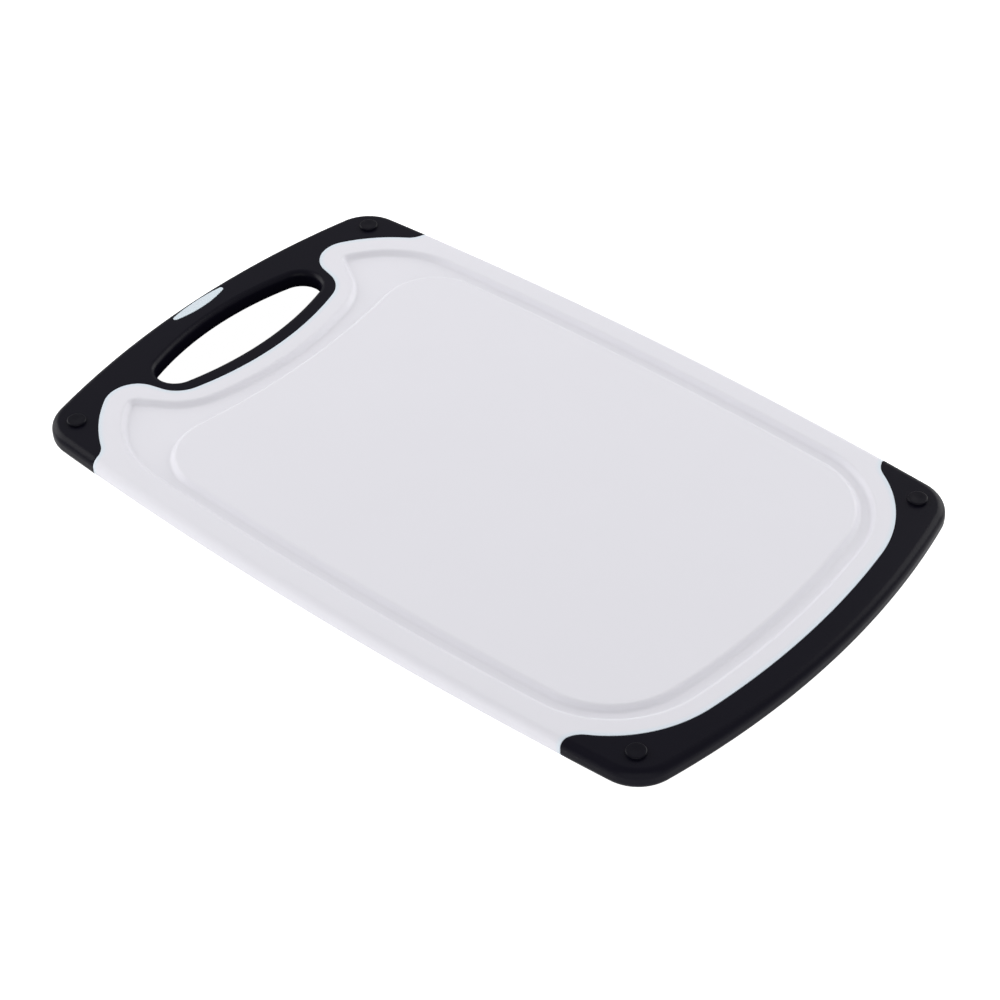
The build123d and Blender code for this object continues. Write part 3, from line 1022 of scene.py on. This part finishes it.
class BOARD_OT_set_studs(bpy.types.Operator):
    """Set the four rubber corner studs, each with a head on both faces"""

    bl_idname = "board.set_studs"
    bl_label = "Set Corner Studs"

    def execute(self, context):
        sizes, finish = context.scene.board_sizes, context.scene.board_finish
        rubber = plastic("black stud rubber", finish.stud_colour)
        for node in ("stud_handle_front", "stud_handle_back", "stud_end_front", "stud_end_back"):
            low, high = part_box(node)
            section = stud_section(low.z, high.z, sizes)
            mesh = bpy.data.meshes.new(node + "_section")
            mesh.from_pydata([(radius, 0, height) for radius, height in section], [], [])
            spot = (low + high) / 2
            values = {"Material": rubber, "Divisions": STUD_DIVISIONS, "Spot": (spot.x, spot.y, 0)}
            tree = tree_named("Turned Piece", turned_tree)
            piece = made_plain(node + "_button", mesh, tree, values)
            put_in(piece, [node])
        return {"FINISHED"}


# ---------------------------------------------------------------- stage

LOOK_AT = Vector((0.01435, -0.00855, 0.0013))
SENSOR = 36.0
FLOOR_HALF = 4.0
FLOOR_TONE = 0.8
SLOT_SHADE = (0.030, 0.065)  # half sizes, in metres, of the patch below the hand slot that is painted dark as shade from the board
LIGHT_DISTANCE = 1.8

# For each light: name, setting for its power, bearing from the camera's and height in degrees, and width
LIGHTS = (
    ("left light", "left_power", -118, 25, 1.6),
    ("right light", "right_power", 128, 25, 1.6),
    ("front light", "front_power", 0, 8, 2.6),
    ("back light", "back_power", 180, 45, 1.6),
)


def plain_light(name, watts, width, spot):
    """A soft round light at a spot, turned to face the board."""
    light = bpy.data.lights.new(name, "AREA")
    light.energy = watts
    light.shape = "DISK"
    light.size = width
    holder = bpy.data.objects.new(name, light)
    holder.matrix_world = Matrix.Translation(spot) @ spot.to_track_quat("Z", "Y").to_matrix().to_4x4()
    bpy.context.scene.collection.objects.link(holder)


def direction(azimuth, elevation):
    """Unit vector towards a bearing from -Y round to +X, and an angle above the floor."""
    level = math.cos(elevation)
    return Vector((level * math.sin(azimuth), -level * math.cos(azimuth), math.sin(elevation)))


def lit_floor(tree):
    """A mask that is 1 on the open floor and 0 on the patch below the hand slot, which is painted dark as
    the board's shade.
    """
    spot = add(tree, "ShaderNodeTexCoord").outputs["Object"]
    place = add(tree, "ShaderNodeSeparateXYZ", {0: spot}).outputs
    across = maths(tree, "DIVIDE", maths(tree, "SUBTRACT", place["X"], SLOT_X * MM), SLOT_SHADE[0])
    along = maths(tree, "DIVIDE", place["Y"], SLOT_SHADE[1])
    squares = [maths(tree, "MULTIPLY", part, part) for part in (across, along)]
    return maths(tree, "GREATER_THAN", maths(tree, "ADD", *squares), 1.0)


def floor_material(stage):
    """A plain pale finish that looks bright to the camera and throws a little light up at the board, with
    painted shade below the hand slot.
    """
    pale = bpy.data.materials.new("pale floor")
    pale.use_nodes = True
    tree = pale.node_tree
    shader = tree.nodes["Principled BSDF"]
    shader.inputs["Roughness"].default_value = 1.0
    shader.inputs["Specular IOR Level"].default_value = 0.0
    shader.inputs["Emission Color"].default_value = (1, 1, 1, 1)
    lit = lit_floor(tree)
    seen = add(tree, "ShaderNodeLightPath").outputs["Is Camera Ray"]
    glow = maths(tree, "MULTIPLY", seen, stage.floor_glow)
    bounce = maths(tree, "MULTIPLY", lit, stage.floor_bounce)
    # Painted shade: below the hand slot the floor is made black and throws no light up
    tree.links.new(maths(tree, "MULTIPLY", lit, FLOOR_TONE), shader.inputs["Base Color"])
    tree.links.new(maths(tree, "MAXIMUM", glow, bounce), shader.inputs["Emission Strength"])
    return pale


class BOARD_OT_set_stage(bpy.types.Operator):
    """Set the pale floor, the plain surroundings, the soft lights and the camera"""

    bl_idname = "board.set_stage"
    bl_label = "Set Stage"

    def execute(self, context):
        scene, stage = context.scene, context.scene.board_stage
        floor_mesh = bpy.data.meshes.new("floor")
        corners = [(FLOOR_HALF * x, FLOOR_HALF * y, 0) for x, y in ((-1, -1), (1, -1), (1, 1), (-1, 1))]
        floor_mesh.from_pydata(corners, [], [(0, 1, 2, 3)])
        floor = bpy.data.objects.new("floor", floor_mesh)
        scene.collection.objects.link(floor)
        floor_mesh.materials.append(floor_material(stage))

        world = bpy.data.worlds.new("surroundings")
        world.use_nodes = True
        backdrop = world.node_tree.nodes["Background"]
        backdrop.inputs["Color"].default_value = (1, 1, 1, 1)
        backdrop.inputs["Strength"].default_value = stage.surroundings
        scene.world = world
        scene.view_settings.view_transform = "Standard"

        for name, setting, turn, height, width in LIGHTS:
            spot = LIGHT_DISTANCE * direction(stage.azimuth + math.radians(turn), math.radians(height))
            plain_light(name, getattr(stage, setting), width, spot)

        back = direction(stage.azimuth, stage.elevation)
        right = Vector((0, 0, 1)).cross(back).normalized()
        axes = Matrix((right, back.cross(right), back)).transposed().to_4x4()
        camera = bpy.data.objects.new("camera", bpy.data.cameras.new("camera"))
        camera.data.sensor_width = SENSOR
        camera.data.lens = stage.lens
        camera.matrix_world = (
            Matrix.Translation(LOOK_AT + back * stage.distance) @ axes @ Matrix.Rotation(stage.roll, 4, "Z")
        )
        scene.collection.objects.link(camera)
        scene.camera = camera
        return {"FINISHED"}


OPERATORS = (
    BOARD_OT_mould_core,
    BOARD_OT_mould_handle,
    BOARD_OT_mould_end,
    BOARD_OT_set_badge,
    BOARD_OT_set_studs,
    BOARD_OT_set_stage,
)
GROUPS = {"board_sizes": BoardSizes, "board_finish": BoardFinish, "board_stage": BoardStage}


class BOARD_PT_pieces(bpy.types.Panel):
    """Sidebar panel with the settings and a button for each piece"""

    bl_label = "Cutting Board"
    bl_space_type = "VIEW_3D"
    bl_region_type = "UI"
    bl_category = "Board"

    def draw(self, context):
        for name in GROUPS:
            settings = getattr(context.scene, name)
            box = self.layout.box()
            for field in settings.bl_rna.properties.keys():
                if field not in ("rna_type", "name"):
                    box.prop(settings, field)
        for operator in OPERATORS:
            self.layout.operator(operator.bl_idname)


def register():
    for group_class in GROUPS.values():
        bpy.utils.register_class(group_class)
    for name, group_class in GROUPS.items():
        setattr(bpy.types.Scene, name, PointerProperty(type=group_class))
    for operator in OPERATORS:
        bpy.utils.register_class(operator)
    bpy.utils.register_class(BOARD_PT_pieces)


def unregister():
    bpy.utils.unregister_class(BOARD_PT_pieces)
    for operator in reversed(OPERATORS):
        bpy.utils.unregister_class(operator)
    for name in GROUPS:
        delattr(bpy.types.Scene, name)
    for group_class in GROUPS.values():
        bpy.utils.unregister_class(group_class)


def main():
    """Makes every piece and the stage."""
    register()
    bpy.ops.board.mould_core()
    bpy.ops.board.mould_handle()
    bpy.ops.board.mould_end()
    bpy.ops.board.set_badge()
    bpy.ops.board.set_studs()
    bpy.ops.board.set_stage()


if __name__ == "__main__":
    main()
